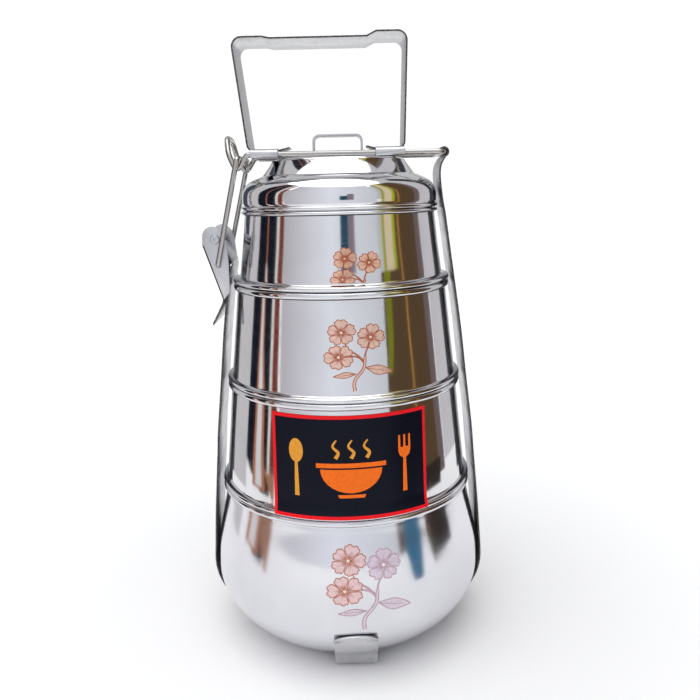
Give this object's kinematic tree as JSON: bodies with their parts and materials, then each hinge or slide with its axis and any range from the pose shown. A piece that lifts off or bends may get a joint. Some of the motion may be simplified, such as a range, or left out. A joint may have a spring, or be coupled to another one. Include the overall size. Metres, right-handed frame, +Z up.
{
  "type": "tiffin carrier",
  "caption": "Stacked stainless steel lunch carrier with a round-bellied base, lift-off lid, wire bail, flat strip handle and side lever latch.",
  "frame": {"origin": "The middle of the underside, on the surface that the carrier stands on", "axes": "+X from the lever latch towards the bail's hinge, +Y from the front to the back, +Z up along the axis of the containers"},
  "size_m": [0.1516, 0.1492, 0.3185],
  "materials": {
    "polished_steel": "mirror-polished stainless steel sheet",
    "satin_steel": "rolled stainless strip with sheared edges",
    "drawn_wire": "drawn stainless wire",
    "printed_label": "glossy printed sticker, black with a red border"
  },
  "bodies": {
    "frame": {"base_container": "polished_steel", "under_strap": "satin_steel", "cross_strap": "satin_steel", "centre_rivet_1": "satin_steel", "centre_rivet_2": "satin_steel"},
    "left_upright": {"left_strap": "satin_steel", "left_strap_rivet_1": "satin_steel", "left_strap_rivet_2": "satin_steel"},
    "right_upright": {"right_strap": "satin_steel", "right_strap_rivet_1": "satin_steel", "right_strap_rivet_2": "satin_steel"},
    "bail": {"bail": "drawn_wire", "handle": "satin_steel"},
    "lever": {"lever": "satin_steel", "lever_rivet": "satin_steel"},
    "link": {"link": "drawn_wire"},
    "container_3": {"container_3": "polished_steel", "label": "printed_label"},
    "container_2": {"container_2": "polished_steel"},
    "container_1": {"container_1": "polished_steel"},
    "lid": {"lid": "polished_steel", "lid_handle": "satin_steel"}
  },
  "joints": [
    {"name": "bail_swing", "type": "hinge", "parent": "right_upright", "child": "bail", "pos_m": [0.0533, 0, 0.261], "axis": [0, 1, 0], "range_deg": [0, 160]},
    {"name": "lever_swing", "type": "hinge", "parent": "left_upright", "child": "lever", "pos_m": [-0.064, 0, 0.2203], "axis": [0, 1, 0], "range_deg": [0, 85]},
    {"name": "link_swing", "type": "hinge", "parent": "lever", "child": "link", "pos_m": [-0.0629, 0, 0.2069], "axis": [0, 1, 0], "range_deg": [-66, 0]},
    {"name": "right_upright_spring", "type": "hinge", "parent": "frame", "child": "right_upright", "pos_m": [0.051, 0, 0.0018], "axis": [0, 1, 0], "range_deg": [0, 3.6]},
    {"name": "left_upright_spring", "type": "hinge", "parent": "frame", "child": "left_upright", "pos_m": [-0.051, 0, 0.0018], "axis": [0, -1, 0], "range_deg": [0, 3.6]},
    {"name": "container_3_lift", "type": "slide", "parent": "frame", "child": "container_3", "axis": [0, 0, 1], "range_m": [0, 0.017]},
    {"name": "container_2_lift", "type": "slide", "parent": "container_3", "child": "container_2", "axis": [0, 0, 1], "range_m": [0, 0.017]},
    {"name": "container_1_lift", "type": "slide", "parent": "container_2", "child": "container_1", "axis": [0, 0, 1], "range_m": [0, 0.017]},
    {"name": "lid_lift", "type": "slide", "parent": "container_1", "child": "lid", "axis": [0, 0, 1], "range_m": [0, 0.017]}
  ],
  "couplings": [
    {"joint": "link_swing", "follows": "lever_swing", "ratio": -0.77},
    {"joint": "right_upright_spring", "follows": "bail_swing", "ratio": 0.022},
    {"joint": "left_upright_spring", "follows": "bail_swing", "ratio": 0.022},
    {"joint": "container_3_lift", "follows": "bail_swing", "m_per_rad": 0.006},
    {"joint": "container_2_lift", "follows": "bail_swing", "m_per_rad": 0.006},
    {"joint": "container_1_lift", "follows": "bail_swing", "m_per_rad": 0.006},
    {"joint": "lid_lift", "follows": "bail_swing", "m_per_rad": 0.006}
  ]
}
